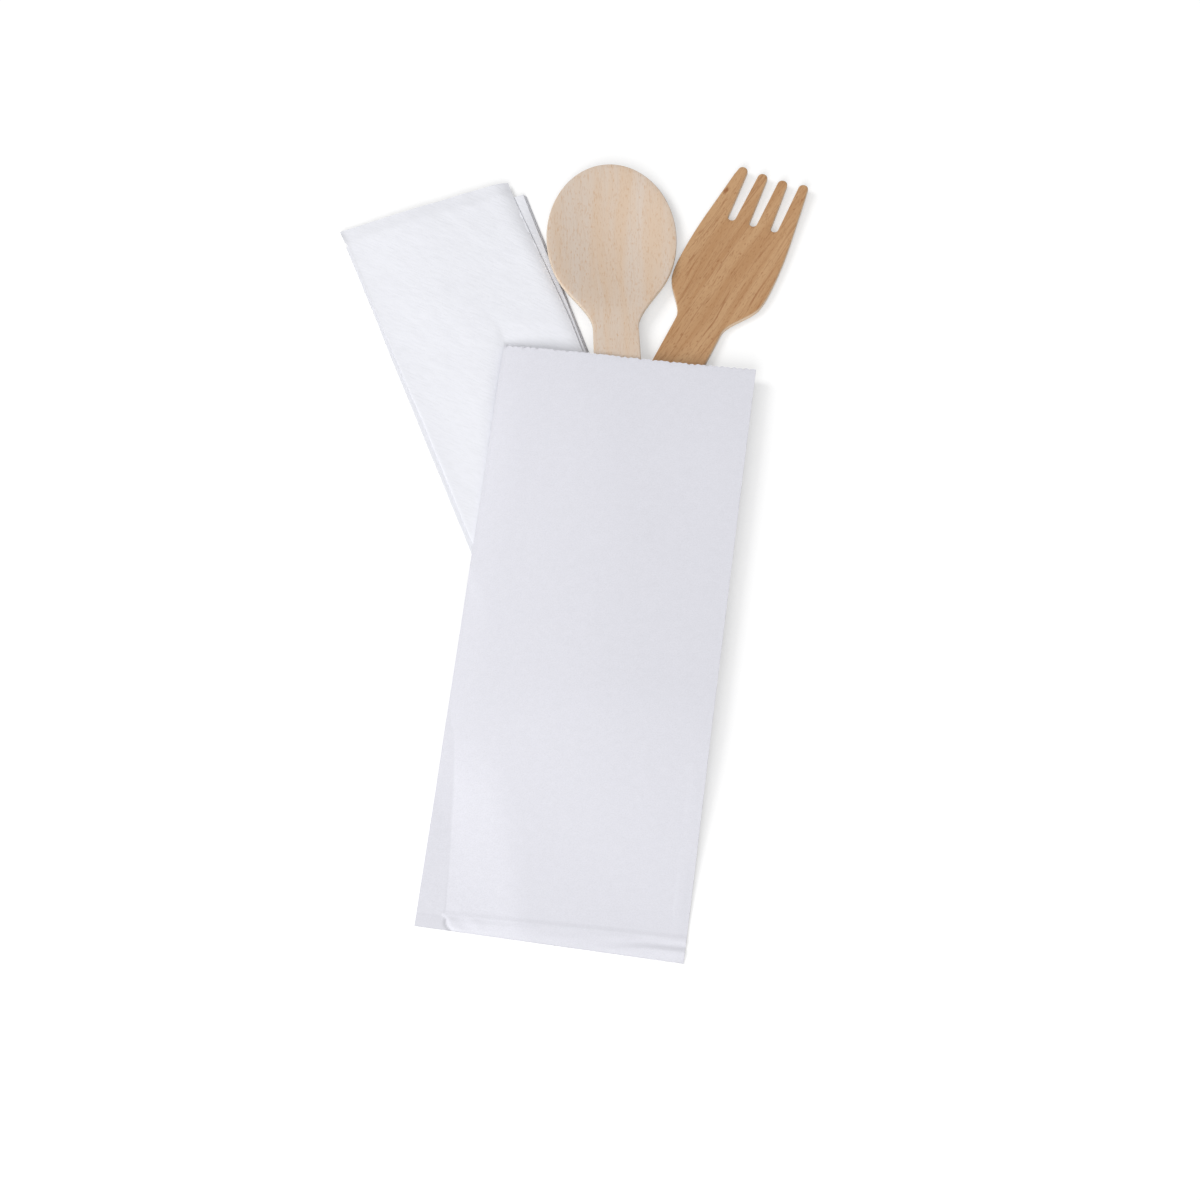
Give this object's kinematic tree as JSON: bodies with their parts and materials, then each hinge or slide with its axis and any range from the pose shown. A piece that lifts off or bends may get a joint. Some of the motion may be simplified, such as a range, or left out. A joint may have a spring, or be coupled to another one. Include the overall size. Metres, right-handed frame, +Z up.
{
  "type": "disposable cutlery set",
  "caption": "White paper pouch holding a wooden spoon and a wooden fork that stand out of its mouth, lying on a folded tissue napkin.",
  "frame": {"origin": "middle of the set's plan box, on the table", "axes": "+Z up from the table, +Y away from the viewer, from the pouch's foot towards its mouth, and +X to the right"},
  "size_m": [0.123, 0.2408, 0.0068],
  "materials": {
    "pouch": "matte",
    "spoon": "matte",
    "fork": "matte",
    "napkin": "matte"
  },
  "bodies": {
    "root": {"pouch": "pouch", "spoon": "spoon", "fork": "fork", "napkin": "napkin"}
  },
  "joints": []
}
